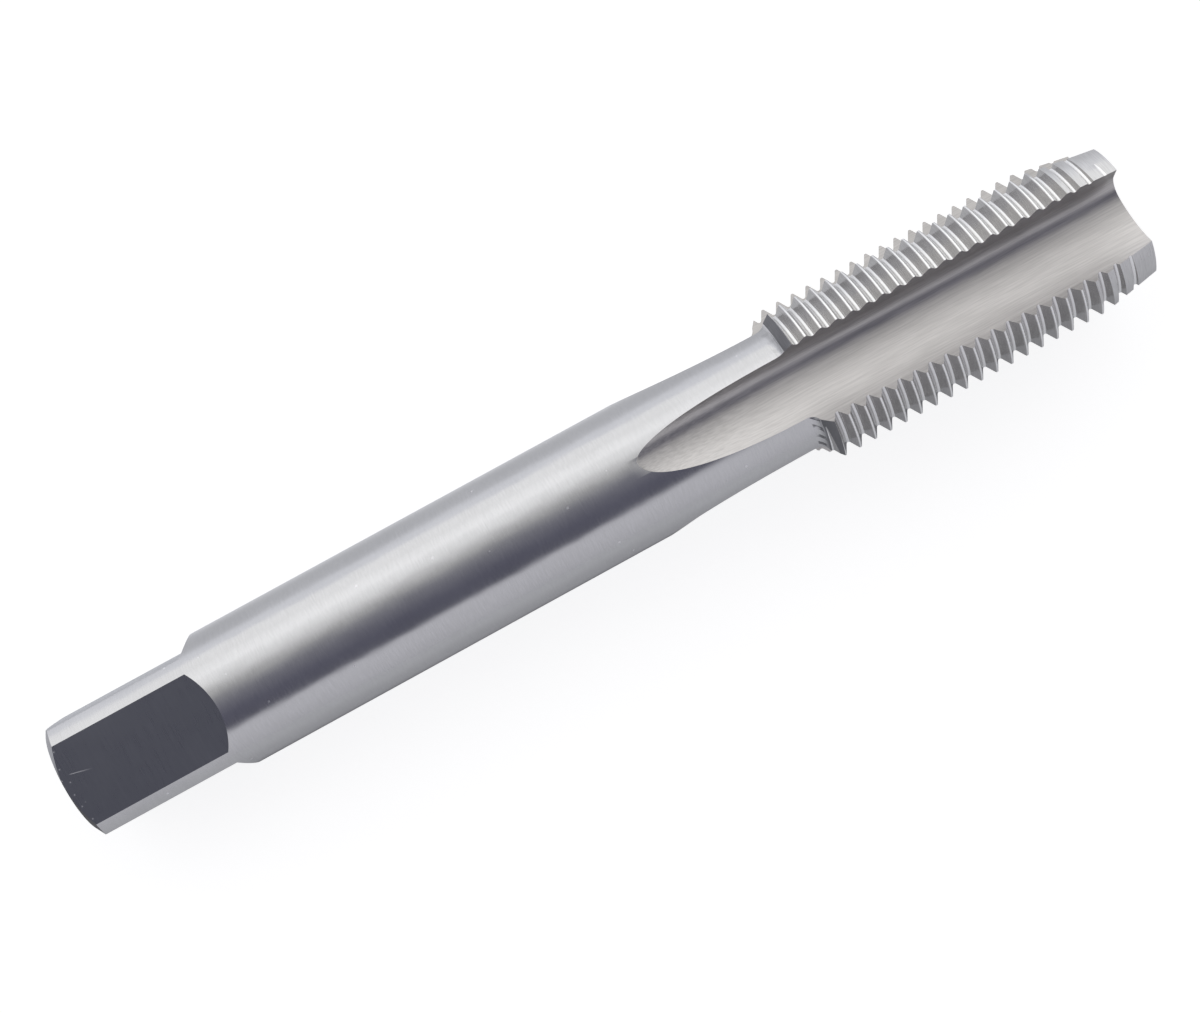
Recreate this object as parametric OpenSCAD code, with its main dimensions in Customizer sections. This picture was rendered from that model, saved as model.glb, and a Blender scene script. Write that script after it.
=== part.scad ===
// Straight-flute hand tap for a fine metric thread, one solid bar of high-speed steel.
// The tap is built upright, drive end at the origin and point upwards, then laid down
// along +X the way it comes to rest: on two lands and on the shank beside the square.

/* [Thread] */
// Major diameter of the thread
thread_d = 16; // [14:0.5:18]
// Pitch of the right-hand thread
pitch = 1.5; // [1.25:0.25:2]
// Length of the threaded part, back chamfer and lead included
thread_l = 32.4; // [28:0.2:40]
// Width of the flat on each crest
crest_flat = 0.2; // [0.15:0.01:0.3]
// Width of the flat in each root
root_flat = 0.24; // [0.15:0.01:0.3]
// How far the crest falls from the cutting edge to the heel
land_relief = 0.06; // [0:0.01:0.12]

/* [Lead] */
// Angle of the lead cone to the axis
lead_deg = 10.5; // [6:0.5:14]
// Radius of the cutting edge at the point
point_r = 6.95; // [6.8:0.05:7]
// How far the lead falls from the cutting edge to the heel
lead_relief = 0.26; // [0.1:0.02:0.3]

/* [Flutes] */
// Angle that each flute takes up at the major diameter
flute_deg = 58.8; // [54:0.2:62]
// Hook of the cutting face, from the radial line
rake_deg = 10; // [4:1:12]
// Radius of the web left between the flutes at the point
web_r = 3.6; // [3.4:0.1:3.8]
// How much thicker the web is at the back of the thread
web_rise = 0.64; // [0.5:0.02:0.8]
// Radius of the flute's long back
back_r = 7.8; // [7.5:0.1:8.5]
// Turn of the back's centre towards the cutting face
back_lean = 13; // [11:1:15]
// Radius of the corner under the cutting face
corner_r = 1.8; // [1.6:0.1:2]
// Radius of the wheel that leaves the run-out
wheel_r = 54; // [50:2:70]
// Straight length of each flute between the thread and its run-out
neck_l = 0.6; // [0.4:0.1:1.5]

/* [Shank] */
// Overall length
overall_l = 102.6; // [98:0.2:108]
// Diameter of the shank
shank_d = 12.5; // [12:0.5:13]
// Width of the driving square across flats
square_af = 10; // [9:0.5:10]
// Length of the driving square at its middle
square_l = 14.5; // [12:0.1:15]
// Turn of the square against the flutes
square_turn = -1.2; // [-4:0.2:4]
// Radius of the shoulder where each flat ends
shoulder_r = 6.2; // [5:0.1:9]
// Length of the chamfer at the drive end
end_chamfer = 0.8; // [0.3:0.1:1]
// Radius of the drive end inside its chamfer
end_r = 4.9; // [4:0.1:5.6]
// Radius of the fillet from the neck up to the thread
neck_fillet = 0.9; // [0.6:0.1:1]
// Mouth diameter of the lathe centres in both ends
centre_d = 3.6; // [2:0.2:4]

/* [Hidden] */
steel = "#a9a9ad";
$fn = 180;

flutes = 4;
flute_step = 360 / flutes;
thread_r = thread_d / 2;
shank_r = shank_d / 2;
flat_r = square_af / 2;
half_flute = flute_deg / 2;
land_deg = flute_step - flute_deg;

// Thread form: 60 degree flanks between a crest flat and a root flat
flank_rise = tan(60);
flank_l = (pitch - crest_flat - root_flat) / 2;
root_r = thread_r - flank_l * flank_rise;
thread_start = overall_l - thread_l;
first_crest = thread_start - 1.615;
slope = tan(lead_deg);
columns = 5;
heel_r = 6.2;

// Flute behind the thread: straight in the neck, then along the wheel, and a hair shallower
// than in the thread, so that the two stretches never share a face
runout_at = thread_start - neck_l;
runout_sweep = 18;
joint_gap = 0.03;
joint_l = 0.3;

// Back of the thread: a rim at the top of the neck's fillet, then a steep chamfer
rim_r = 6.95;
back_rise = 1.2;

// Core that the lands stand on: just under the roots and the lead, with their feet inside it
core_r = 6.98;
core_gap = 0.06;
foot_r = 6;
side_deg = 0.2;
heel_foot_deg = 1.4;
end_gap = 0.03;

// Points of an arc from angle a to angle b, both ends included
function arc(c, r, a, b, n) =
    [for (i = [0 : n]) let (t = a + (b - a) * i / n) c + r * [cos(t), sin(t)]];

function polar(r, t) = r * [cos(t), sin(t)];

// A point on a grid of a micrometre
function snap(p) = [for (x = p) round(x * 1000) / 1000];

// Cutting face of a flute that points along +X, as angles and a line in that flute's section
face_deg = half_flute - rake_deg;
face_out = polar(1, face_deg);
edge_at = polar(thread_r, half_flute);
face_foot = edge_at * face_out;

// Angle of the cutting face at a radius
function face_angle(r) =
    let (p = edge_at + (sqrt(face_foot * face_foot - thread_r * thread_r + r * r) - face_foot) * face_out)
    atan2(p[1], p[0]);

// Angle of the flute's back at a radius, for a web of radius w
function back_angle(r, w) =
    acos((r * r + pow(w + back_r, 2) - back_r * back_r) / (2 * r * (w + back_r))) - back_lean;

// Web radius at a height: thicker towards the shank
function web_at(z) = web_r + web_rise * (overall_l - z) / thread_l;

// Floor of the flute in section: corner under the cutting face, then the long back
function floor_pts(w) =
    let (
        back_c = polar(w + back_r, back_lean),
        inward = [sin(face_deg), -cos(face_deg)],
        reach = edge_at + corner_r * inward - back_c,
        along = reach * face_out,
        drop = along + sqrt(along * along - reach * reach + pow(back_r - corner_r, 2)),
        corner_c = edge_at + corner_r * inward - drop * face_out,
        touch = corner_c - back_c,
        touch_deg = atan2(touch[1], touch[0]) + 360,
        heel = polar(heel_r, -back_angle(heel_r, w)) - back_c,
        heel_deg = atan2(heel[1], heel[0]) + 360
    )
    concat(
        arc(corner_c, corner_r, 90 + face_deg, touch_deg, 6),
        [for (i = [1 : 8]) arc(back_c, back_r, touch_deg, heel_deg, 8)[i]]
    );

// Rest: the back end of the thread stands on two heels, the shank on its side by the square
rest_front = thread_start + 1.5;
heel_top = thread_r - land_relief;
land_drop = heel_top * cos(back_angle(heel_top, web_at(rest_front)) + side_deg);
tilt = asin((land_drop - shank_r) / (rest_front - square_l));
axis_z = shank_r * cos(tilt) - square_l * sin(tilt);
middle_x = overall_l / 2 * cos(tilt);

// Height of crest k at an angle round the axis, on one continuous helix
function crest_z(k, phi) = first_crest + pitch * (k + phi / 360);

// Radius of the lead cone and of the back chamfer at a height
function lead_at(z, share) = point_r - lead_relief * share + slope * (overall_l - z);
function chamfer_at(z) = rim_r + back_rise * (z - thread_start);

// One tooth as four [height, radius] points: foot, crest, crest, foot
function tooth(k, phi, share) =
    let (
        mid = crest_z(k, phi),
        top = thread_r - land_relief * share,
        low = root_r - land_relief * share,
        foot_a = max(mid - crest_flat / 2 - flank_l, thread_start + 0.1),
        foot_b = mid + crest_flat / 2 + flank_l,
        chamfer_top = thread_start + (top - rim_r) / back_rise,
        chamfer_end = (low + flank_rise * foot_b - chamfer_at(0)) / (flank_rise + back_rise),
        lead_a = (lead_at(0, share) - low + flank_rise * foot_a) / (flank_rise + slope),
        lead_b = (low + flank_rise * foot_b - lead_at(0, share)) / (flank_rise - slope),
        rise_end = min(mid - crest_flat / 2, lead_a),
        crest_a = max(foot_a + 0.08, rise_end, min(chamfer_top, chamfer_end)),
        crest_b = min(foot_b - 0.04, max(mid + crest_flat / 2, lead_b, crest_a + 0.04))
    )
    [
        [foot_a, min(low, lead_at(foot_a, share), chamfer_at(foot_a))],
        [crest_a, min(top, lead_at(crest_a, share), chamfer_at(crest_a))],
        [crest_b, min(top, lead_at(crest_b, share), low + flank_rise * (foot_b - crest_b))],
        [foot_b, min(low, lead_at(foot_b, share))]
    ];

// Outline of a land along the tap, from under the back chamfer to the point
function land_outline(phi, share, ks) =
    [
        [thread_start - 0.05, core_r - 0.1],
        [thread_start + 0.05, chamfer_at(thread_start + 0.05)],
        each [for (k = ks) each tooth(k, phi, share)],
        [overall_l - end_gap, lead_at(overall_l, share)]
    ];

// All points of one land, column by column behind its cutting edge, and its count of rows:
// the foot of the cutting side, the skin, and the foot of the heel side
function land_points(index) =
    let (
        edge_phi = index * flute_step - half_flute,
        k_first = ceil((thread_start - 0.1 - crest_z(0, edge_phi)) / pitch),
        k_last = floor((overall_l - 0.75 - crest_z(0, edge_phi)) / pitch),
        skin = [for (c = [0 : columns - 1])
            let (share = c / (columns - 1))
            land_outline(edge_phi - share * land_deg, share, [k_first : k_last])],
        feet = [for (side = [0, columns - 1]) [for (p = skin[side]) [p[0], foot_r]]],
        all = [feet[0], each skin, feet[1]]
    )
    [
        [for (c = [0 : columns + 1], p = all[c])
            let (
                share = max(0, min(1, (c - 1) / (columns - 1))),
                face_phi = index * flute_step - face_angle(p[1]) - side_deg,
                inset = c > columns ? heel_foot_deg : side_deg,
                back_phi = (index - 1) * flute_step + back_angle(p[1], web_at(p[0])) + inset
            )
            snap([each polar(p[1], face_phi + (back_phi - face_phi) * share), p[0]])],
        len(skin[0])
    ];

// Bar turned to size: chamfer, shank, fillet up to the thread's back rim, core and its lead
module bar() {
    rise = rim_r - shank_r;
    run = sqrt(2 * neck_fillet * rise - rise * rise);
    sweep = acos(1 - rise / neck_fillet);
    fillet_c = [shank_r + neck_fillet, thread_start - run];
    tip_r = point_r - lead_relief - core_gap;
    rotate_extrude()
        polygon(concat(
            [[0, 0], [end_r, 0], [shank_r, end_chamfer]],
            arc(fillet_c, neck_fillet, 180, 180 - sweep, 4),
            [
                [core_r, thread_start + (core_r - rim_r) / back_rise],
                [core_r, overall_l - (core_r - tip_r) / slope],
                [tip_r, overall_l],
                [0, overall_l]
            ]
        ));
}

// Section of a flute that points along +X, for a web of radius w
function flute_section(w) = concat(
    [edge_at + 4 * face_out],
    floor_pts(w),
    [polar(thread_r, -back_angle(thread_r, w)), [15, -6]]
);

// One flute: its web thickens through the thread, then it runs straight through the neck and
// out of the shank as the wheel leaves it
module flute() {
    w = web_at(thread_start);
    wheel_at = w + wheel_r;
    ends = [thread_start - joint_l, overall_l + 1];
    n = len(flute_section(w));
    points = [for (z = ends, p = flute_section(web_at(z))) snap([p[0], -p[1], z])];
    sides = [for (i = [0 : n - 1])
        let (j = (i + 1) % n)
        each [[i, j, n + j], [i, n + j, n + i]]];
    polyhedron(points, concat(sides, [[for (i = [n - 1 : -1 : 0]) i], [for (i = [0 : n - 1]) n + i]]));
    translate([joint_gap, 0, runout_at]) {
        linear_extrude(height = neck_l + joint_l)
            polygon([for (p = flute_section(w)) [p[0], -p[1]]]);
        translate([wheel_at, 0, 0])
            rotate([90, 180, 0])
                rotate_extrude(angle = runout_sweep, $fn = 180)
                    polygon([for (p = flute_section(w)) [wheel_at - p[0], p[1]]]);
    }
}

// One land: teeth on the helix, with its foot inside the core
module land(index) {
    block = land_points(index);
    rows = block[1];
    last = columns + 1;
    walls = [for (c = [0 : last], j = [0 : rows - 2])
        let (p = c * rows + j, q = (c == last ? 0 : c + 1) * rows + j)
        each [[p, q + 1, p + 1], [p, q, q + 1]]];
    back_end = [for (c = [last : -1 : 0]) c * rows];
    front_end = [for (c = [0 : last]) c * rows + rows - 1];
    polyhedron(block[0], concat(walls, [back_end, front_end]), convexity = 12);
}

// What the mill takes off for one flat of the square, with its round shoulder
module flat_cut() {
    width = 2 * shoulder_r;
    translate([flat_r, 0, square_l - shoulder_r])
        rotate([0, 90, 0]) {
            cylinder(h = shank_r, r = shoulder_r);
            translate([0, -shoulder_r, 0])
                cube([square_l, width, shank_r]);
        }
}

// Lathe centre: a 60 degree mouth over a small pilot
module centre() {
    mouth = centre_d / 2;
    pilot = mouth * 0.4;
    cone_l = (mouth - pilot) / tan(30);
    translate([0, 0, -0.1]) {
        cylinder(h = cone_l + 0.1, r1 = mouth + 0.1 * tan(30), r2 = pilot);
        cylinder(h = cone_l + 1.4, r = pilot);
    }
}

// The whole tap, upright
module upright() {
    difference() {
        bar();
        for (i = [0 : flutes - 1]) rotate(i * flute_step) flute();
        for (i = [0 : 3]) rotate(i * 90 + square_turn) flat_cut();
        centre();
        translate([0, 0, overall_l]) rotate([180, 0, 0]) centre();
    }
    for (i = [0 : flutes - 1]) land(i);
}

module tap() {
    color(steel)
        translate([-middle_x, 0, axis_z])
            rotate([0, 90 - tilt, 0])
                upright();
}

tap();
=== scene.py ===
"""Dresses a straight-flute hand tap over its CAD solid, in metres and in the row's own frame.

The tap is made as a toolroom makes it. A bar is turned to its stations, one helical groove cuts
the thread, the lands are relieved behind their cutting edges, a form wheel grinds the four
flutes, a mill takes the square off the drive end, and a centre goes into each end. Each cutter
leaves its own finish on the faces that it makes, but some colours are painted light: the
near-white of the crests and roots is a painted highlight, and the dark of the turned ends and of
the thread's back chamfer is painted shade.
"""

from __future__ import annotations

import logging
import math
from collections.abc import Sequence
from dataclasses import dataclass, field
from enum import Enum

import bmesh
import bpy
from mathutils import Matrix, Vector


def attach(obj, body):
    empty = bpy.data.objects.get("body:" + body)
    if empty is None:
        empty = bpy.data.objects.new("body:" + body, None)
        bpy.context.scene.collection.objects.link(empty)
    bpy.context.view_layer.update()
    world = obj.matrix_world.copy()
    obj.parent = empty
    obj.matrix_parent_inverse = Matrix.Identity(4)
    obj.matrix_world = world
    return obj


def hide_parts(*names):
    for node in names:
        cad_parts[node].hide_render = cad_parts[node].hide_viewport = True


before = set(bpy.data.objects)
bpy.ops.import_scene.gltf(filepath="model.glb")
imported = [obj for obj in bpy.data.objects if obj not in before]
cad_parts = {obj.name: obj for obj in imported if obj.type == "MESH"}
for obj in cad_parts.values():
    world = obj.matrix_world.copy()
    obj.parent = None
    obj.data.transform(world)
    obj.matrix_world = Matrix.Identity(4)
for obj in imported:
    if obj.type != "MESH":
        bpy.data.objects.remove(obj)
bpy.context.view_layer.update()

LOG = logging.getLogger("hand_tap")
MM = 0.001

# In millimetres: heights that count as one, doubles in a new cutter, slivers that the cuts leave.
NEAR = 0.01
WELD = 0.0002
CLEAN = 0.001

# A span is where a soft edge or a range starts and where it ends.
Point = tuple[float, float]
Span = tuple[float, float]
Colour = tuple[float, float, float]


def polar(radius: float, degrees: float) -> Point:
    """Return the point at a radius and an angle."""
    return radius * math.cos(math.radians(degrees)), radius * math.sin(math.radians(degrees))


def arc(centre: Point, radius: float, start: float, end: float, steps: int) -> list[Point]:
    """Return the points of an arc.

    Args:
        centre: Centre of the arc.
        radius: Its radius.
        start: First angle, in degrees.
        end: Last angle, in degrees.
        steps: Number of chords.

    Returns:
        The points, both ends included.
    """
    angles = [start + (end - start) * i / steps for i in range(steps + 1)]
    return [(centre[0] + polar(radius, a)[0], centre[1] + polar(radius, a)[1]) for a in angles]


@dataclass(frozen=True)
class TapSizes:
    """Sizes of the tap in millimetres and degrees, the same as in the part's source."""

    overall_l: float = 102.6
    thread_r: float = 8.0
    pitch: float = 1.5
    thread_l: float = 32.4
    first_crest: float = 68.585
    flank_deg: float = 30.0
    crest_flat: float = 0.2
    root_flat: float = 0.24
    land_relief: float = 0.06
    lead_deg: float = 10.5
    point_r: float = 6.95
    lead_relief: float = 0.26
    flutes: int = 4
    flute_deg: float = 58.8
    rake_deg: float = 10.0
    web_r: float = 3.6
    web_rise: float = 0.64
    back_r: float = 7.8
    back_lean: float = 13.0
    corner_r: float = 1.8
    heel_r: float = 6.2
    wheel_r: float = 54.0
    neck_l: float = 0.6
    runout_sweep: float = 18.0
    shank_r: float = 6.25
    flat_r: float = 5.0
    square_l: float = 14.5
    square_turn: float = -1.2
    shoulder_r: float = 6.2
    end_chamfer: float = 0.8
    end_r: float = 4.9
    neck_fillet: float = 0.9
    rim_r: float = 6.95
    back_rise: float = 1.2
    centre_r: float = 1.8
    rest_front: float = 1.5
    side_deg: float = 0.2

    @property
    def thread_start(self) -> float:
        """Height of the thread's back end above the drive end."""
        return self.overall_l - self.thread_l

    @property
    def root_r(self) -> float:
        """Radius at the bottom of the thread."""
        flank_l = (self.pitch - self.crest_flat - self.root_flat) / 2
        return self.thread_r - flank_l * math.tan(math.radians(90 - self.flank_deg))

    @property
    def lead_slope(self) -> float:
        """Rise of the lead cone for each millimetre away from the point."""
        return math.tan(math.radians(self.lead_deg))

    @property
    def lead_top(self) -> float:
        """Height at which the lead cone starts."""
        return self.overall_l - (self.thread_r - self.point_r) / self.lead_slope

    @property
    def land_deg(self) -> float:
        """Angle that each land takes up."""
        return 360 / self.flutes - self.flute_deg

    def web_at(self, height: float) -> float:
        """Return the web's radius at a height."""
        return self.web_r + self.web_rise * (self.overall_l - height) / self.thread_l

    def back_angle(self, radius: float, web: float) -> float:
        """Return the angle of a flute's back at a radius.

        Args:
            radius: Radius on the tap.
            web: Radius of the web under the flute.

        Returns:
            The angle from the flute's middle, in degrees.
        """
        reach = web + self.back_r
        part = (radius**2 + reach**2 - self.back_r**2) / (2 * radius * reach)
        return math.degrees(math.acos(part)) - self.back_lean

    def share_behind_edge(self, azimuth: float) -> float:
        """Return how far an azimuth is behind its land's cutting edge, from 0 to 1 at the heel.

        Args:
            azimuth: Angle round the upright tap, in degrees.

        Returns:
            The share, which falls back to 0 across the flute behind the heel.
        """
        step = 360 / self.flutes
        behind = (-self.flute_deg / 2 - azimuth) % step
        if behind <= self.land_deg:
            return behind / self.land_deg
        return (step - behind) / self.flute_deg

    @property
    def rest(self) -> Matrix:
        """Move from the upright tap, in metres, to the way it lies on two lands and its shank."""
        heel_top = self.thread_r - self.land_relief
        front = self.thread_start + self.rest_front
        heel_deg = self.back_angle(heel_top, self.web_at(front)) + self.side_deg
        drop = heel_top * math.cos(math.radians(heel_deg))
        tilt = math.asin((drop - self.shank_r) / (front - self.square_l))
        axis_z = self.shank_r * math.cos(tilt) - self.square_l * math.sin(tilt)
        shift = Vector((-self.overall_l / 2 * math.cos(tilt), 0.0, axis_z)) * MM
        return Matrix.Translation(shift) @ Matrix.Rotation(math.pi / 2 - tilt, 4, "Y")


SIZES = TapSizes()


class Face(Enum):
    """Kinds of surface on the tap, in the order of the piece's material slots."""

    SHANK = 0
    MILLED = 1
    TURNED = 2
    FLUTE = 3
    FLANK = 4
    CREST = 5
    LEAD = 6
    BACK = 7


class Grain(Enum):
    """Way in which a tool has left its marks on the steel."""

    ACROSS = "across the tap's axis"
    ALONG = "along the tap's axis"


class Socket:
    """Shader socket with arithmetic, so that maths reads as an expression."""

    def __init__(self, bench: "Bench", link: bpy.types.NodeSocket) -> None:
        """Keep the socket and the bench that it is on."""
        self.bench = bench
        self.link = link

    def _with(self, operation: str, *others: "Socket | float") -> "Socket":
        """Return a Math node of this socket and others."""
        inputs = dict(enumerate((self, *others)))
        return self.bench.add("ShaderNodeMath", {"operation": operation}, inputs)

    def __add__(self, other: "Socket | float") -> "Socket":
        """Return the sum."""
        return self._with("ADD", other)

    __radd__ = __add__

    def __sub__(self, other: "Socket | float") -> "Socket":
        """Return the difference."""
        return self._with("SUBTRACT", other)

    def __rsub__(self, other: float) -> "Socket":
        """Return a number less this socket."""
        return self.bench.add("ShaderNodeMath", {"operation": "SUBTRACT"}, {0: other, 1: self})

    def __mul__(self, other: "Socket | float") -> "Socket":
        """Return the product."""
        return self._with("MULTIPLY", other)

    __rmul__ = __mul__

    def clamped(self) -> "Socket":
        """Return this socket kept between 0 and 1."""
        return self.bench.add(
            "ShaderNodeClamp", {}, {"Value": self, "Min": 0.0, "Max": 1.0}
        )

    def between(self, low: float, high: float) -> "Socket":
        """Return 0 below low, 1 above high and a smooth step between them."""
        return self.bench.add(
            "ShaderNodeMapRange",
            {"interpolation_type": "SMOOTHSTEP"},
            {"Value": self, "From Min": low, "From Max": high, "To Min": 0.0, "To Max": 1.0},
        )


class Bench:
    """Node tree of one material or of the world."""

    def __init__(self, tree: bpy.types.NodeTree) -> None:
        """Empty the tree and keep it."""
        self.tree = tree
        tree.nodes.clear()

    def add(
        self,
        kind: str,
        settings: dict[str, object],
        inputs: dict[str | int, object],
        output: str | int = 0,
    ) -> Socket | None:
        """Add a node.

        Args:
            kind: Its type.
            settings: Its properties, set before its sockets.
            inputs: Values or sockets, by the name or number of the input.
            output: Name or number of the output that is wanted.

        Returns:
            That output, or None for a node that has none.
        """
        node = self.tree.nodes.new(kind)
        for name, value in settings.items():
            if name == "stops":
                self._set_stops(node.color_ramp, value)
            else:
                setattr(node, name, value)
        for name, value in inputs.items():
            if isinstance(value, Socket):
                self.tree.links.new(value.link, node.inputs[name])
            else:
                node.inputs[name].default_value = value
        return Socket(self, node.outputs[output]) if node.outputs else None

    @staticmethod
    def _set_stops(ramp: bpy.types.ColorRamp, stops: Sequence[tuple[float, Colour]]) -> None:
        """Put the stops of a colour ramp in place.

        Args:
            ramp: The ramp.
            stops: Place and colour of each stop, in order.
        """
        while len(ramp.elements) > 1:
            ramp.elements.remove(ramp.elements[-1])
        for index, (place, colour) in enumerate(stops):
            stop = ramp.elements[0] if index == 0 else ramp.elements.new(place)
            stop.position = place
            stop.color = (*colour, 1.0)

    def mix(self, share: Socket | float, low: object, high: object) -> Socket:
        """Return a blend of two colours by a share."""
        return self.add(
            "ShaderNodeMix", {"data_type": "RGBA"}, {0: share, 6: low, 7: high}, output=2
        )

    def tap_place(self) -> Socket:
        """Undo the tap's rest, so that patterns follow its axis.

        Returns:
            The position in millimetres, with X along the tap from the drive end.
        """
        here = self.add("ShaderNodeTexCoord", {}, {}, output="Object")
        turn = SIZES.rest.to_euler().y - math.pi / 2
        return self.add(
            "ShaderNodeMapping",
            {"vector_type": "TEXTURE"},
            {
                "Vector": here,
                "Location": SIZES.rest.to_translation(),
                "Rotation": (0.0, turn, 0.0),
                "Scale": (MM, MM, MM),
            },
        )

    def axis(self, place: Socket, name: str) -> Socket:
        """Return one coordinate of a position."""
        return self.add("ShaderNodeSeparateXYZ", {}, {0: place}, output=name)

    def stretch(self, place: Socket, along: float, across: float) -> Socket:
        """Return the position with its axis and its section scaled on their own."""
        return self.add(
            "ShaderNodeVectorMath",
            {"operation": "MULTIPLY"},
            {0: place, 1: (along, across, across)},
        )

    def noise(self, where: Socket, detail: float) -> Socket:
        """Return a noise at a position that is already scaled."""
        return self.add(
            "ShaderNodeTexNoise",
            {"noise_dimensions": "3D"},
            {"Vector": where, "Scale": 1.0, "Detail": detail, "Roughness": 0.6},
        )

    def scatter(self, place: Socket, dimensions: str, scale: float) -> Socket:
        """Return the distance to the nearest of many scattered points."""
        return self.add(
            "ShaderNodeTexVoronoi",
            {"voronoi_dimensions": dimensions},
            {"Vector": place, "Scale": scale},
            output="Distance",
        )


@dataclass(frozen=True)
class Wear:
    """Small marks on a finish: their colour, and how much they cover, roughen and sink it."""

    colour: Colour
    cover: float = 1.0
    roughening: float = 0.0
    depth: float = 0.0

    def mask(self, bench: Bench, place: Socket) -> Socket:
        """Return where the marks are, from 0 to 1.

        Args:
            bench: Node tree of the material.
            place: Position on the tap, in millimetres.

        Returns:
            The mask.
        """
        raise NotImplementedError


@dataclass(frozen=True)
class Specks(Wear):
    """Bright specks, scattered thinly over a ground surface."""

    scale: float = 0.45
    rim: Span = (0.03, 0.065)

    def mask(self, bench: Bench, place: Socket) -> Socket:
        """Return where the specks are."""
        return 1 - bench.scatter(place, "3D", self.scale).between(*self.rim)


@dataclass(frozen=True)
class EndNicks(Wear):
    """Nicks by the drive end's edge on the upper flat, and the one scratch beside them."""

    scale: float = 1.25
    rim: Span = (0.05, 0.12)
    reach: Span = (0.8, 1.1)
    nick_cover: float = 0.75
    scratch: tuple[Point, Point] = ((0.84, 1.14), (3.05, 0.61))
    scratch_rim: Span = (0.015, 0.055)
    scratch_start: float = 0.3
    scratch_fade: float = 0.4
    scratch_cover: float = 0.9
    upper: Span = (4.0, 4.5)

    def mask(self, bench: Bench, place: Socket) -> Socket:
        """Return where the nicks and the scratch are.

        Args:
            bench: Node tree of the material.
            place: Position on the tap, in millimetres.

        Returns:
            The mask.
        """
        x, y, z = (bench.axis(place, name) for name in "XYZ")
        dots = 1 - bench.scatter(place, "2D", self.scale).between(*self.rim)
        nicks = dots * (1 - x.between(*self.reach))
        marks = nicks * self.nick_cover + self._line(x, y) * self.scratch_cover
        return marks.clamped() * z.between(*self.upper)

    def _line(self, x: Socket, y: Socket) -> Socket:
        """Draw the scratch as a thin line that fades towards its far end.

        Args:
            x: Position along the tap.
            y: Position across it.

        Returns:
            The scratch's mask.
        """
        (x0, y0), (x1, y1) = self.scratch
        run = math.hypot(x1 - x0, y1 - y0)
        ux, uy = (x1 - x0) / run, (y1 - y0) / run
        east, north = x - x0, y - y0
        along = east * ux + north * uy
        aside = north * ux - east * uy
        left, right = (1 - off.between(*self.scratch_rim) for off in (aside, 0 - aside))
        fade = 1 - along.between(self.scratch_fade * run, run)
        return left * right * along.between(0, self.scratch_start) * fade


@dataclass(frozen=True)
class ChatterNotchesAndShade(Wear):
    """Slanted notches that the wheel chattered into the fillet behind the thread.

    Their near-black colour is painted shade in the notches, weakened on the +Y side, where the
    light falls. The back and front spans are distances behind the thread's start.
    """

    count: int = 36
    slant: float = 5.0
    crest: Span = (0.0, 0.7)
    back: Span = (0.75, 0.6)
    front: Span = (0.12, 0.02)
    patches: Span = (0.3, 0.5)
    side: Span = (-1.0, 1.0)
    lit_side_loss: float = 0.85

    def mask(self, bench: Bench, place: Socket) -> Socket:
        """Return where the notches and their painted shade are: uneven, and stronger on the
        shaded -Y side.

        Args:
            bench: Node tree of the material.
            place: Position on the tap, in millimetres.

        Returns:
            The mask.
        """
        x, y, z = (bench.axis(place, name) for name in "XYZ")
        azimuth = bench.add("ShaderNodeMath", {"operation": "ARCTAN2"}, {0: y, 1: z})
        phase = azimuth * self.count + x * self.slant
        wave = bench.add("ShaderNodeMath", {"operation": "SINE"}, {0: phase})
        start = SIZES.thread_start
        begun = x.between(start - self.back[0], start - self.back[1])
        ended = x.between(start - self.front[0], start - self.front[1])
        uneven = bench.noise(place, 1.0).between(*self.patches)
        # Painted shade: the notches fade on the lit +Y side.
        shade_sided = 1 - y.between(*self.side) * self.lit_side_loss
        return wave.between(*self.crest) * (begun * (1 - ended)) * uneven * shade_sided


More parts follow.
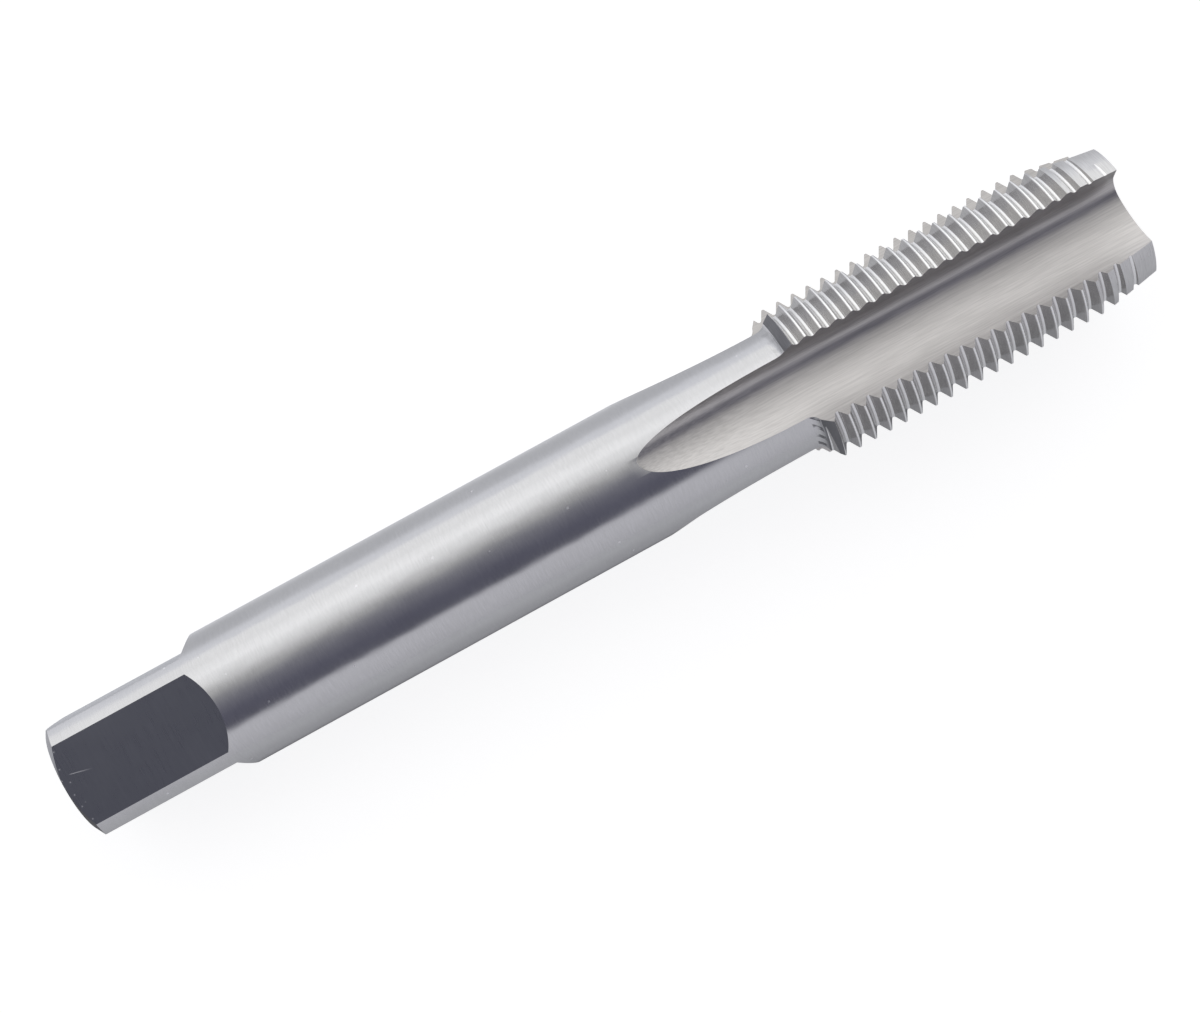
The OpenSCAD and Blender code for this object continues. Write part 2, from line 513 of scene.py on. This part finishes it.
@dataclass(frozen=True)
class SteelFinish:
    """One finish of the tool steel, as its tool leaves it, save for painted light in some
    colours.

    The grain is the tool's fine marks, with their pitch and depth in millimetres. The patches
    are slow changes under it. The tone is how far both lighten and darken the colour.
    """

    name: str
    colour: Colour
    roughness: float
    grain_pitch: float
    grain_depth: float
    grain: Grain = Grain.ACROSS
    tone: float = 0.1
    patch_depth: float = 0.0
    wear: tuple[Wear, ...] = ()
    grain_run: float = 0.06
    patch_scale: tuple[float, float] = (0.16, 0.3)
    grain_share: float = 0.7
    tone_range: Span = (0.3, 0.7)
    grain_sheen: float = 0.12
    patch_sheen: float = 0.1

    def material(self) -> bpy.types.Material:
        """Build the material of this finish.

        Returns:
            The material, with its marks on Object coordinates.
        """
        made = bpy.data.materials.new(self.name)
        made.use_nodes = True
        bench = Bench(made.node_tree)
        place = bench.tap_place()
        fine, slow = 1 / self.grain_pitch, self.grain_run / self.grain_pitch
        if self.grain is Grain.ALONG:
            where = bench.stretch(place, slow / 2, fine)
        else:
            where = bench.stretch(place, fine, slow)
        marks = bench.noise(where, 3.0)
        patches = bench.noise(bench.stretch(place, *self.patch_scale), 2.0)
        light = tuple(min(1.0, c * (1 + self.tone)) for c in self.colour)
        dark = tuple(c * (1 - self.tone) for c in self.colour)
        share = marks * self.grain_share + patches * (1 - self.grain_share)
        colour = bench.mix(share.between(*self.tone_range), (*dark, 1), (*light, 1))
        marks, patches = marks - 0.5, patches - 0.5
        rough = self.roughness + marks * self.grain_sheen + patches * self.patch_sheen
        height = marks * self.grain_depth + patches * self.patch_depth
        for wear in self.wear:
            mask = wear.mask(bench, place)
            colour = bench.mix(mask * wear.cover, colour, (*wear.colour, 1))
            rough = rough + mask * wear.roughening
            height = height - mask * wear.depth
        bump = bench.add(
            "ShaderNodeBump", {}, {"Strength": 1.0, "Distance": MM, "Height": height}
        )
        steel = bench.add(
            "ShaderNodeBsdfPrincipled",
            {},
            {
                "Base Color": colour,
                "Metallic": 1.0,
                "Roughness": rough.clamped(),
                "Normal": bump,
            },
        )
        bench.add("ShaderNodeOutputMaterial", {}, {"Surface": steel})
        return made


FINISHES: dict[Face, SteelFinish] = {
    Face.SHANK: SteelFinish(
        name="ground_shank",
        colour=(0.62, 0.62, 0.63),
        roughness=0.19,
        grain_pitch=0.06,
        grain_depth=0.0012,
        tone=0.05,
        patch_depth=0.05,
        wear=(
            Specks((0.85, 0.85, 0.87), cover=0.9, roughening=0.2),
            # Chatter notches: real dents, painted near black as the shade in them.
            ChatterNotchesAndShade((0.08, 0.08, 0.09), cover=0.75, depth=0.03),
        ),
    ),
    Face.MILLED: SteelFinish(
        name="milled_square",
        colour=(0.3, 0.308, 0.335),
        roughness=0.3,
        grain_pitch=0.12,
        grain_depth=0.0001,
        tone=0.02,
        patch_depth=0.003,
        wear=(EndNicks((0.75, 0.75, 0.76), roughening=0.25),),
    ),
    # End faces, drive-end chamfer and centres: base colour far below the steel's, painted shade.
    Face.TURNED: SteelFinish(
        name="turned_ends_painted_shade",
        colour=(0.2, 0.2, 0.215),
        roughness=0.32,
        grain_pitch=0.08,
        grain_depth=0.002,
    ),
    Face.FLUTE: SteelFinish(
        name="ground_flutes",
        colour=(0.6, 0.582, 0.57),
        roughness=0.4,
        grain_pitch=0.12,
        grain_depth=0.003,
        grain=Grain.ALONG,
        tone=0.14,
        patch_depth=0.008,
    ),
    Face.FLANK: SteelFinish(
        name="ground_flanks",
        colour=(0.55, 0.543, 0.54),
        roughness=0.2,
        grain_pitch=0.05,
        grain_depth=0.001,
    ),
    # Crests: near-white colour, a painted highlight for the bright line along each crest; the
    # roots get it too.
    Face.CREST: SteelFinish(
        name="crest_and_root_highlight",
        colour=(0.98, 0.98, 0.98),
        roughness=0.34,
        grain_pitch=0.05,
        grain_depth=0.001,
    ),
    Face.LEAD: SteelFinish(
        name="ground_lead",
        colour=(0.66, 0.658, 0.66),
        roughness=0.3,
        grain_pitch=0.07,
        grain_depth=0.0015,
    ),
    # Thread's back chamfer: base colour far below the steel's, painted shade for the dark band it
    # shows.
    Face.BACK: SteelFinish(
        name="turned_back_painted_shade",
        colour=(0.22, 0.22, 0.232),
        roughness=0.34,
        grain_pitch=0.08,
        grain_depth=0.002,
    ),
}


def deselect() -> None:
    """Leave nothing selected, in Object mode."""
    if bpy.context.mode != "OBJECT":
        bpy.ops.object.mode_set(mode="OBJECT")
    bpy.ops.object.select_all(action="DESELECT")


def outline(points: Sequence[Point], plane: str = "XY") -> bpy.types.Object:
    """Draw a closed outline, corner by corner, and fill it.

    Args:
        points: Corners in millimetres.
        plane: "XY" or "XZ".

    Returns:
        The new object, left in edit mode with its one face selected.
    """
    spots = [Vector((x, y, 0) if plane == "XY" else (x, 0, y)) * MM for x, y in points]
    deselect()
    bpy.ops.mesh.primitive_plane_add(size=MM, location=(0, 0, 0))
    bpy.ops.object.mode_set(mode="EDIT")
    bpy.ops.mesh.merge(type="CENTER")
    bpy.ops.transform.translate(value=spots[0])
    for last, spot in zip(spots, spots[1:]):
        bpy.ops.mesh.extrude_region_move(TRANSFORM_OT_translate={"value": spot - last})
    bpy.ops.mesh.select_all(action="SELECT")
    bpy.ops.mesh.edge_face_add()
    return bpy.context.object


def close_up(obj: bpy.types.Object) -> None:
    """Merge doubles, turn the faces outwards and leave edit mode.

    Args:
        obj: The object in edit mode.
    """
    bpy.ops.mesh.select_all(action="SELECT")
    bpy.ops.mesh.remove_doubles(threshold=WELD * MM)
    bpy.ops.mesh.normals_make_consistent(inside=False)
    bpy.ops.object.mode_set(mode="OBJECT")
    obj.select_set(True)


def give_slots(obj: bpy.types.Object, kind: Face) -> None:
    """Give an object every finish as a slot, with all its faces in one of them.

    Args:
        obj: The object.
        kind: Surface that all its faces are.
    """
    for face in Face:
        obj.data.materials.append(bpy.data.materials[FINISHES[face].name])
    for polygon in obj.data.polygons:
        polygon.material_index = kind.value


def apply_modifier(obj: bpy.types.Object, kind: str, **settings: object) -> None:
    """Add a modifier and apply it at once.

    Args:
        obj: The object that gets it.
        kind: Its type.
        **settings: Its properties.
    """
    modifier = obj.modifiers.new(kind.lower(), kind)
    for name, value in settings.items():
        setattr(modifier, name, value)
    bpy.context.view_layer.objects.active = obj
    bpy.ops.object.modifier_apply(modifier=modifier.name)


def cut(body: bpy.types.Object, tool: bpy.types.Object) -> None:
    """Take a tool's volume off a body and drop the tool."""
    apply_modifier(body, "BOOLEAN", operation="DIFFERENCE", solver="MANIFOLD", object=tool)
    bpy.data.objects.remove(tool, do_unlink=True)


@dataclass
class TurnedBar:
    """Bar as it leaves the lathe, from the drive end's chamfer to the point's lead cone."""

    sizes: TapSizes
    segments: int = 360
    fillet_steps: int = 8
    ring_gap: float = 2.0
    root_highlight_band: float = 0.06

    def stations(self) -> list[tuple[float, float, Face]]:
        """List the rings at which the bar changes.

        Returns:
            Radius and height of each ring, with the finish of the surface up to it.
        """
        s = self.sizes
        rise = s.rim_r - s.shank_r
        run = math.sqrt(2 * s.neck_fillet * rise - rise**2)
        sweep = math.degrees(math.acos(1 - rise / s.neck_fillet))
        centre = (s.shank_r + s.neck_fillet, s.thread_start - run)
        fillet = arc(centre, s.neck_fillet, 180, 180 - sweep, self.fillet_steps)
        chamfer_l = (s.thread_r - s.rim_r) / s.back_rise
        shank = range(1, int((s.thread_start - run) / self.ring_gap))
        return [
            (s.end_r, 0.0, Face.TURNED),
            (s.shank_r, s.end_chamfer, Face.TURNED),
            *[(s.shank_r, k * self.ring_gap, Face.SHANK) for k in shank],
            *[(x, z, Face.SHANK) for x, z in fillet],
            (s.thread_r, s.thread_start + chamfer_l, Face.BACK),
            (s.thread_r, s.lead_top, Face.CREST),
            (s.point_r, s.overall_l, Face.LEAD),
        ]

    def build(self) -> bpy.types.Object:
        """Turn the bar ring by ring.

        Returns:
            The upright bar, with a finish on each stretch.
        """
        rings = self.stations()
        deselect()
        bpy.ops.mesh.primitive_circle_add(
            vertices=self.segments, radius=rings[0][0] * MM, fill_type="NGON"
        )
        bar = bpy.context.object
        bpy.ops.object.mode_set(mode="EDIT")
        for (last_r, last_z, _), (radius, height, _) in zip(rings, rings[1:]):
            up = {"value": (0, 0, (height - last_z) * MM)}
            bpy.ops.mesh.extrude_region_move(TRANSFORM_OT_translate=up)
            k = radius / last_r
            bpy.ops.transform.resize(value=(k, k, 1), center_override=(0, 0, height * MM))
        close_up(bar)
        give_slots(bar, Face.TURNED)
        for polygon in bar.data.polygons:
            height = polygon.center.z / MM
            if NEAR < height < self.sizes.overall_l - NEAR:
                above = next(ring for ring in rings if ring[1] > height)
                polygon.material_index = above[2].value
        return bar

    def paint_root_highlights(self, bar: bpy.types.Object) -> None:
        """Give the roots the crests' near-white finish, a painted highlight along each root.

        Args:
            bar: The bar with its thread cut.
        """
        s = self.sizes
        for polygon in bar.data.polygons:
            centre = polygon.center / MM
            # Roots within this band above the root radius get the painted highlight.
            deep = math.hypot(centre.x, centre.y) < s.root_r + self.root_highlight_band
            if deep and polygon.material_index == Face.FLANK.value:
                polygon.material_index = Face.CREST.value

    def relieve_lead(self, bar: bpy.types.Object) -> None:
        """Lower the lead cone behind each cutting edge, as relief grinding does.

        Args:
            bar: The bar before its thread is cut.
        """
        s = self.sizes
        fall = s.lead_relief - s.land_relief
        for vertex in bar.data.vertices:
            height = vertex.co.z / MM
            if height < s.lead_top - NEAR:
                continue
            share = s.share_behind_edge(math.degrees(math.atan2(vertex.co.y, vertex.co.x)))
            if height > s.overall_l - NEAR:
                radius = s.point_r - fall * share
                vertex.co.xy = vertex.co.xy.normalized() * radius * MM
            else:
                vertex.co.z = (s.lead_top - fall * share / s.lead_slope) * MM

    def relieve_lands(self, bar: bpy.types.Object) -> None:
        """Let the cut thread fall off a little from each cutting edge to its heel.

        Args:
            bar: The bar with its thread cut.
        """
        s = self.sizes
        for vertex in bar.data.vertices:
            radius = vertex.co.xy.length / MM
            if vertex.co.z / MM > s.thread_start + NEAR and radius > s.heel_r:
                share = s.share_behind_edge(math.degrees(math.atan2(vertex.co.y, vertex.co.x)))
                vertex.co.xy *= 1 - s.land_relief * share / radius


@dataclass
class ThreadGroove:
    """What the grinding wheel takes off for the thread: one helical groove of 60 degrees."""

    sizes: TapSizes
    steps: int = 180
    root_steps: int = 6
    foot: float = 0.05
    lip: float = 0.03
    reach: float = 0.06
    flare: float = 0.4

    def section(self) -> list[Point]:
        """Draw the groove with a round root and eased crests.

        Returns:
            Its corners, as radius and height from the groove's middle.
        """
        s = self.sizes
        slope = math.tan(math.radians(s.flank_deg))
        root_round = s.root_flat * math.cos(math.radians(s.flank_deg))
        turn = 90 - s.flank_deg
        root_c = (s.root_r + root_round, 0)
        bottom = arc(root_c, root_round, 180 + turn, 180 - turn, self.root_steps)

        def half_width(radius: float) -> float:
            """Return half the groove's width at a radius."""
            return s.root_flat / 2 + (radius - s.root_r) * slope

        foot_r = bottom[-1][0] + self.foot
        lip_r = s.thread_r - self.lip
        top_r = s.thread_r + self.reach
        wide = half_width(s.thread_r) + self.lip
        wider = wide + self.reach * self.flare
        side = [
            (foot_r, half_width(foot_r)),
            (lip_r, half_width(lip_r)),
            (s.thread_r, wide),
            (top_r, wider),
        ]
        return [*bottom, *side, *[(x, -y) for x, y in reversed(side)]]

    def build(self) -> bpy.types.Object:
        """Wind the groove from the neck to past the point.

        Returns:
            The upright cutter.
        """
        s = self.sizes
        start = s.first_crest + s.pitch / 2
        turns = math.ceil((s.overall_l - start) / s.pitch) + 1
        groove = outline([(r, z + start) for r, z in self.section()], "XZ")
        bpy.ops.mesh.delete(type="ONLY_FACE")
        bpy.ops.object.mode_set(mode="OBJECT")
        apply_modifier(
            groove,
            "SCREW",
            axis="Z",
            angle=math.tau,
            screw_offset=s.pitch * MM,
            iterations=turns,
            steps=self.steps,
            render_steps=self.steps,
            use_smooth_shade=False,
        )
        bpy.ops.object.mode_set(mode="EDIT")
        bpy.ops.mesh.select_all(action="SELECT")
        bpy.ops.mesh.fill_holes(sides=0)
        close_up(groove)
        give_slots(groove, Face.FLANK)
        return groove


@dataclass
class Flute:
    """What the form wheel takes off for one flute: a J in section, run out into the shank."""

    sizes: TapSizes
    corner_steps: int = 12
    back_steps: int = 24
    lip_steps: int = 4
    sweep_steps: int = 48
    overrun: float = 1.0
    mouth: float = 4.0
    outside: Point = (15.0, -6.0)

    def section(self, web: float) -> list[Point]:
        """Return the flute's section for a web radius, the cutting face towards +Y.

        Args:
            web: Radius of the web under the flute.

        Returns:
            Its corners, from outside the cutting edge round the floor to outside the heel.
        """
        s = self.sizes
        face_deg = s.flute_deg / 2 - s.rake_deg
        out = Vector(polar(1, face_deg))
        edge = Vector(polar(s.thread_r, s.flute_deg / 2))
        inward = Vector((math.sin(math.radians(face_deg)), -math.cos(math.radians(face_deg))))
        back_c = Vector(polar(web + s.back_r, s.back_lean))
        reach = edge + s.corner_r * inward - back_c
        along = reach.dot(out)
        drop = along + math.sqrt(along**2 - reach.dot(reach) + (s.back_r - s.corner_r) ** 2)
        corner_c = edge + s.corner_r * inward - drop * out
        touch = corner_c - back_c
        touch_deg = math.degrees(math.atan2(touch.y, touch.x)) + 360
        heel = Vector(polar(s.heel_r, -s.back_angle(s.heel_r, web))) - back_c
        heel_deg = math.degrees(math.atan2(heel.y, heel.x)) + 360
        lip = Vector(polar(s.thread_r, -s.back_angle(s.thread_r, web))) - back_c
        lip_deg = math.degrees(math.atan2(lip.y, lip.x)) + 360
        corner = arc(tuple(corner_c), s.corner_r, 90 + face_deg, touch_deg, self.corner_steps)
        back = arc(tuple(back_c), s.back_r, touch_deg, heel_deg, self.back_steps)[1:]
        rest = arc(tuple(back_c), s.back_r, heel_deg, lip_deg, self.lip_steps)[1:]
        return [tuple(edge + self.mouth * out), *corner, *back, *rest, self.outside]

    def build(self, turn: float) -> bpy.types.Object:
        """Grind the flute from past the point back through the neck and out of the shank.

        Args:
            turn: Azimuth of the flute, in degrees.

        Returns:
            The upright cutter.
        """
        s = self.sizes
        front, back = s.overall_l + self.overrun, s.thread_start
        web = s.web_at(back)
        cutter = outline([(x, -y) for x, y in self.section(web)])
        bpy.ops.transform.translate(value=(0, 0, back * MM))
        bpy.ops.mesh.extrude_region_move(
            TRANSFORM_OT_translate={"value": (0, 0, (front - back) * MM)}
        )
        self._thin_web(cutter, front)
        bpy.ops.mesh.select_all(action="DESELECT")
        bpy.ops.object.mode_set(mode="OBJECT")
        lowest = min(cutter.data.polygons, key=lambda polygon: polygon.center.z)
        lowest.select = True
        bpy.ops.object.mode_set(mode="EDIT")
        bpy.ops.mesh.select_mode(type="FACE")
        bpy.ops.mesh.extrude_region_move(
            TRANSFORM_OT_translate={"value": (0, 0, -s.neck_l * MM)}
        )
        runout_z = (back - s.neck_l) * MM
        bpy.ops.mesh.spin(
            steps=self.sweep_steps,
            angle=math.radians(s.runout_sweep),
            center=((web + s.wheel_r) * MM, 0, runout_z),
            axis=(0, 1, 0),
        )
        bpy.ops.mesh.select_mode(type="VERT")
        close_up(cutter)
        give_slots(cutter, Face.FLUTE)
        cutter.rotation_euler.z = math.radians(turn)
        bpy.ops.object.transform_apply(location=True, rotation=True, scale=True)
        return cutter

    def _thin_web(self, cutter: bpy.types.Object, front: float) -> None:
        """Move the selected front outline in to the section of the thinner web.

        Args:
            cutter: The flute's cutter, in edit mode.
            front: Height of its front outline.
        """
        slim = self.section(self.sizes.web_at(front))
        shape = bmesh.from_edit_mesh(cutter.data)
        wide = self.section(self.sizes.web_at(self.sizes.thread_start))
        for vertex in shape.verts:
            if vertex.select:
                here = Vector((vertex.co.x, -vertex.co.y)) / MM
                index = min(range(len(wide)), key=lambda i: (Vector(wide[i]) - here).length)
                vertex.co.x, vertex.co.y = slim[index][0] * MM, -slim[index][1] * MM
        bmesh.update_edit_mesh(cutter.data)


@dataclass
class DrivingSquare:
    """What the mill takes off for one flat of the square, with its round shoulder."""

    sizes: TapSizes
    arc_steps: int = 48
    overrun: float = 2.0

    def build(self, turn: float) -> bpy.types.Object:
        """Mill one flat.

        Args:
            turn: Azimuth of the flat's normal, in degrees.

        Returns:
            The upright cutter.
        """
        s = self.sizes
        half_w = s.shoulder_r
        rim = arc((0, s.square_l - half_w), half_w, 0, 180, self.arc_steps)
        cutter = outline([*rim, (-half_w, -self.overrun), (half_w, -self.overrun)], "XZ")
        bpy.ops.mesh.extrude_region_move(
            TRANSFORM_OT_translate={"value": (0, s.shank_r * MM, 0)}
        )
        close_up(cutter)
        give_slots(cutter, Face.MILLED)
        out = Matrix.Translation((0, s.flat_r * MM, 0))
        cutter.matrix_world = Matrix.Rotation(math.radians(turn - 90), 4, "Z") @ out
        bpy.ops.object.transform_apply(location=True, rotation=True, scale=True)
        return cutter


@dataclass
class LatheCentre:
    """Centre hole in an end: a 60 degree mouth over a small pilot."""

    sizes: TapSizes
    segments: int = 96
    half_deg: float = 30.0
    proud: float = 0.1
    pilot_share: float = 0.4
    pilot_l: float = 1.4

    def build(self, top: bool) -> bpy.types.Object:
        """Drill one centre.

        Args:
            top: Whether it goes into the point instead of the drive end.

        Returns:
            The upright cutter.
        """
        s = self.sizes
        slope = math.tan(math.radians(self.half_deg))
        pilot_r = s.centre_r * self.pilot_share
        cone_l = (s.centre_r - pilot_r) / slope
        sign, face = (-1, s.overall_l) if top else (1, 0.0)
        mouth_z = face - sign * self.proud
        rings = [
            (s.centre_r + self.proud * slope, mouth_z),
            (pilot_r, face + sign * cone_l),
            (pilot_r, face + sign * (cone_l + self.pilot_l)),
        ]
        deselect()
        bpy.ops.mesh.primitive_circle_add(
            vertices=self.segments,
            radius=rings[0][0] * MM,
            fill_type="NGON",
            location=(0, 0, mouth_z * MM),
        )
        cutter = bpy.context.object
        bpy.ops.object.transform_apply(location=True, rotation=True, scale=True)
        bpy.ops.object.mode_set(mode="EDIT")
        for (last_r, last_z), (radius, height) in zip(rings, rings[1:]):
            step = {"value": (0, 0, (height - last_z) * MM)}
            bpy.ops.mesh.extrude_region_move(TRANSFORM_OT_translate=step)
            k = radius / last_r
            bpy.ops.transform.resize(value=(k, k, 1), center_override=(0, 0, height * MM))
        close_up(cutter)
        give_slots(cutter, Face.TURNED)
        return cutter


@dataclass
class HandTap:
    """The whole tap, cut from its bar and laid down at rest."""

    sizes: TapSizes
    flats: int = 4
    smooth_deg: float = 24.0
    piece: bpy.types.Object | None = field(default=None, init=False)

    def build(self) -> bpy.types.Object:
        """Cut the tap from its bar.

        Returns:
            The finished piece, at rest in the row's frame.
        """
        for finish in FINISHES.values():
            finish.material()
        turned = TurnedBar(self.sizes)
        bar = turned.build()
        bar.name = bar.data.name = "tap_steel"
        turned.relieve_lead(bar)
        cut(bar, ThreadGroove(self.sizes).build())
        # Painted highlight: the roots take the crests' near-white finish.
        turned.paint_root_highlights(bar)
        LOG.info("thread cut, %d faces", len(bar.data.polygons))
        turned.relieve_lands(bar)
        step = 360 / self.sizes.flutes
        for index in range(self.sizes.flutes):
            cut(bar, Flute(self.sizes).build(index * step))
        LOG.info("flutes ground, %d faces", len(bar.data.polygons))
        for index in range(self.flats):
            turn = index * 360 / self.flats + self.sizes.square_turn
            cut(bar, DrivingSquare(self.sizes).build(turn))
        for top in (False, True):
            cut(bar, LatheCentre(self.sizes).build(top))
        self._finish(bar)
        self.piece = bar
        return bar

    def _finish(self, bar: bpy.types.Object) -> None:
        """Clean the cut surface, shade it and lay it down at rest.

        Args:
            bar: The upright tap, with all its cuts.
        """
        deselect()
        bar.select_set(True)
        bpy.context.view_layer.objects.active = bar
        bpy.ops.object.mode_set(mode="EDIT")
        bpy.ops.mesh.select_all(action="SELECT")
        bpy.ops.mesh.remove_doubles(threshold=CLEAN * MM)
        bpy.ops.mesh.dissolve_degenerate(threshold=CLEAN * MM)
        bpy.ops.object.mode_set(mode="OBJECT")
        bpy.ops.object.shade_smooth_by_angle(angle=math.radians(self.smooth_deg))
        bar.data.transform(self.sizes.rest)
        bar.data.update()
        LOG.info("piece %s: %d faces", bar.name, len(bar.data.polygons))

    def dress(self) -> None:
        """Put the piece on its body, in the place of the CAD node."""
        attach(self.piece, "root")
        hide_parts("tap")


@dataclass
class Studio:
    """Pale floor, soft light and the camera of the photograph.

    The floor's glow and shadow levels are what the steel mirrors, at places from 0 to 1 on an
    eased
    ramp across Y: painted shadow, near black, under the tap and just to its -Y side, a painted
    bright strip along its +Y side, and the -Y side darker than the +Y side. The sky's are a level
    and its share of blue at an angle from overhead towards +Y.
    """

    floor_size: float = 6.0
    floor_grey: float = 0.4
    backdrop: float = 0.83
    ramp_reach: float = 0.06
    floor_tint: Colour = (0.975, 0.99, 1.04)
    floor_glow_and_shadow: tuple[tuple[float, float], ...] = (
        (0.0, 0.33),
        (0.35, 0.23),
        (0.4, 0.02),
        (0.5, 0.02),
        (0.541667, 0.78),
        (0.575, 0.66),
        (0.6, 0.52),
        (0.65, 0.43),
        (0.75, 0.44),
        (0.85, 0.48),
        (1.0, 0.72),
    )
    sky_gain: float = 2.0
    sky_levels: tuple[tuple[float, float, float], ...] = (
        (-180, 0.5, 1.06),
        (-90, 0.55, 1.06),
        (-70, 0.62, 1.06),
        (-47, 0.68, 1.06),
        (-40, 0.115, 1.3),
        (-20, 0.125, 1.34),
        (-6, 0.18, 1.22),
        (4, 0.24, 1.15),
        (12, 0.35, 1.06),
        (20, 0.52, 1.0),
        (30, 0.78, 1.0),
        (38, 1.02, 1.0),
        (46, 1.14, 1.0),
        (54, 1.2, 1.0),
        (64, 1.12, 1.0),
        (78, 1.14, 1.0),
        (90, 1.16, 1.0),
        (180, 0.9, 1.0),
    )
    lamp_at: tuple[float, float, float] = (0.0, 2.6, 1.5)
    lamp_size: tuple[float, float] = (1.6, 0.9)
    lamp_power: float = 0.5
    camera_at: tuple[float, float, float] = (-0.01116973, 0.01713801, 0.17956400)
    camera_turn: tuple[float, float, float] = (-3.62649515, -5.91703202, -28.42869317)
    sensor_mm: float = 36.0
    lens_mm: float = 60.1058
    clip: Span = (0.005, 20.0)

    def build(self) -> None:
        """Set up floor, light and camera."""
        self._floor()
        self._world()
        self._lamp()
        self._camera()
        bpy.context.scene.view_settings.view_transform = "Standard"

    def _floor(self) -> None:
        """Lay the pale floor, white to the camera apart from the tap's shadow."""
        deselect()
        bpy.ops.mesh.primitive_plane_add(size=self.floor_size, location=(0, 0, 0))
        floor = bpy.context.object
        floor.name = "floor"
        paint = bpy.data.materials.new("pale_floor")
        paint.use_nodes = True
        bench = Bench(paint.node_tree)
        rays = {
            kind: bench.add("ShaderNodeLightPath", {}, {}, output=f"Is {kind} Ray")
            for kind in ("Camera", "Glossy", "Transmission")
        }
        here = bench.add("ShaderNodeTexCoord", {}, {}, output="Object")
        side = bench.axis(here, "Y").between(-self.ramp_reach, self.ramp_reach)
        mirrored = (rays["Glossy"] + rays["Transmission"]).clamped()
        stops = [
            (place, tuple(level * share for share in self.floor_tint))
            for place, level in self.floor_glow_and_shadow
        ]
        # Painted shadow and light for the steel to mirror: near black under the tap, a bright
        # strip on its +Y side, darker on -Y than on +Y.
        painted_floor_light = bench.add("ShaderNodeValToRGB", {"stops": stops}, {0: side})
        glow = bench.mix(mirrored, (0, 0, 0, 1), painted_floor_light)
        glow = bench.mix(rays["Camera"], glow, (*[self.backdrop] * 3, 1))
        lit = bench.add("ShaderNodeEmission", {}, {"Color": glow, "Strength": 1.0})
        matt = bench.add("ShaderNodeBsdfDiffuse", {}, {"Color": (*[self.floor_grey] * 3, 1)})
        both = bench.add("ShaderNodeAddShader", {}, {0: matt, 1: lit})
        bench.add("ShaderNodeOutputMaterial", {}, {"Surface": both})
        floor.data.materials.append(paint)

    def _world(self) -> None:
        """Light the scene from a soft sky: bright box on one side, dark overhead, grey card."""
        world = bpy.data.worlds.new("studio")
        bpy.context.scene.world = world
        world.use_nodes = True
        bench = Bench(world.node_tree)
        way = bench.add("ShaderNodeTexCoord", {}, {}, output="Generated")
        y, z = bench.axis(way, "Y"), bench.axis(way, "Z")
        angle = bench.add("ShaderNodeMath", {"operation": "ARCTAN2"}, {0: y, 1: z})
        turn = angle * (0.5 / math.pi) + 0.5
        stops = []
        for degrees, level, blue in self.sky_levels:
            grey = level / self.sky_gain
            stops.append((degrees / 360 + 0.5, (grey, grey, grey * blue)))
        sky = bench.add("ShaderNodeValToRGB", {"stops": stops}, {0: turn})
        lit = bench.add("ShaderNodeBackground", {}, {"Color": sky, "Strength": self.sky_gain})
        white = bench.add("ShaderNodeBackground", {}, {"Color": (1, 1, 1, 1), "Strength": 1.0})
        camera = bench.add("ShaderNodeLightPath", {}, {}, output="Is Camera Ray")
        seen = bench.add("ShaderNodeMixShader", {}, {0: camera, 1: lit, 2: white})
        bench.add("ShaderNodeOutputWorld", {}, {"Surface": seen})

    def _lamp(self) -> None:
        """Hang one soft lamp beside the camera for the shadow."""
        deselect()
        spot = Vector(self.lamp_at)
        bpy.ops.object.light_add(type="AREA", location=spot)
        lamp = bpy.context.object
        lamp.name = "soft_box"
        lamp.data.shape = "RECTANGLE"
        lamp.data.size, lamp.data.size_y = self.lamp_size
        lamp.data.energy = self.lamp_power
        lamp.rotation_euler = spot.to_track_quat("Z", "Y").to_euler()

    def _camera(self) -> None:
        """Put the camera where the photograph was taken from."""
        deselect()
        turn = tuple(math.radians(a) for a in self.camera_turn)
        bpy.ops.object.camera_add(location=self.camera_at, rotation=turn)
        camera = bpy.context.object
        camera.name = "photo_camera"
        camera.data.sensor_fit = "HORIZONTAL"
        camera.data.sensor_width = self.sensor_mm
        camera.data.lens = self.lens_mm
        camera.data.clip_start, camera.data.clip_end = self.clip
        camera.data.dof.use_dof = False
        bpy.context.scene.camera = camera


def main() -> None:
    """Build the tap and its studio, and log the face counts."""
    logging.basicConfig(level=logging.INFO, format="%(message)s")
    tap = HandTap(SIZES)
    piece = tap.build()
    tap.dress()
    LOG.info("%s rides on root in the place of the node tap", piece.name)
    Studio().build()
    LOG.info("studio ready")


if __name__ == "__main__":
    main()
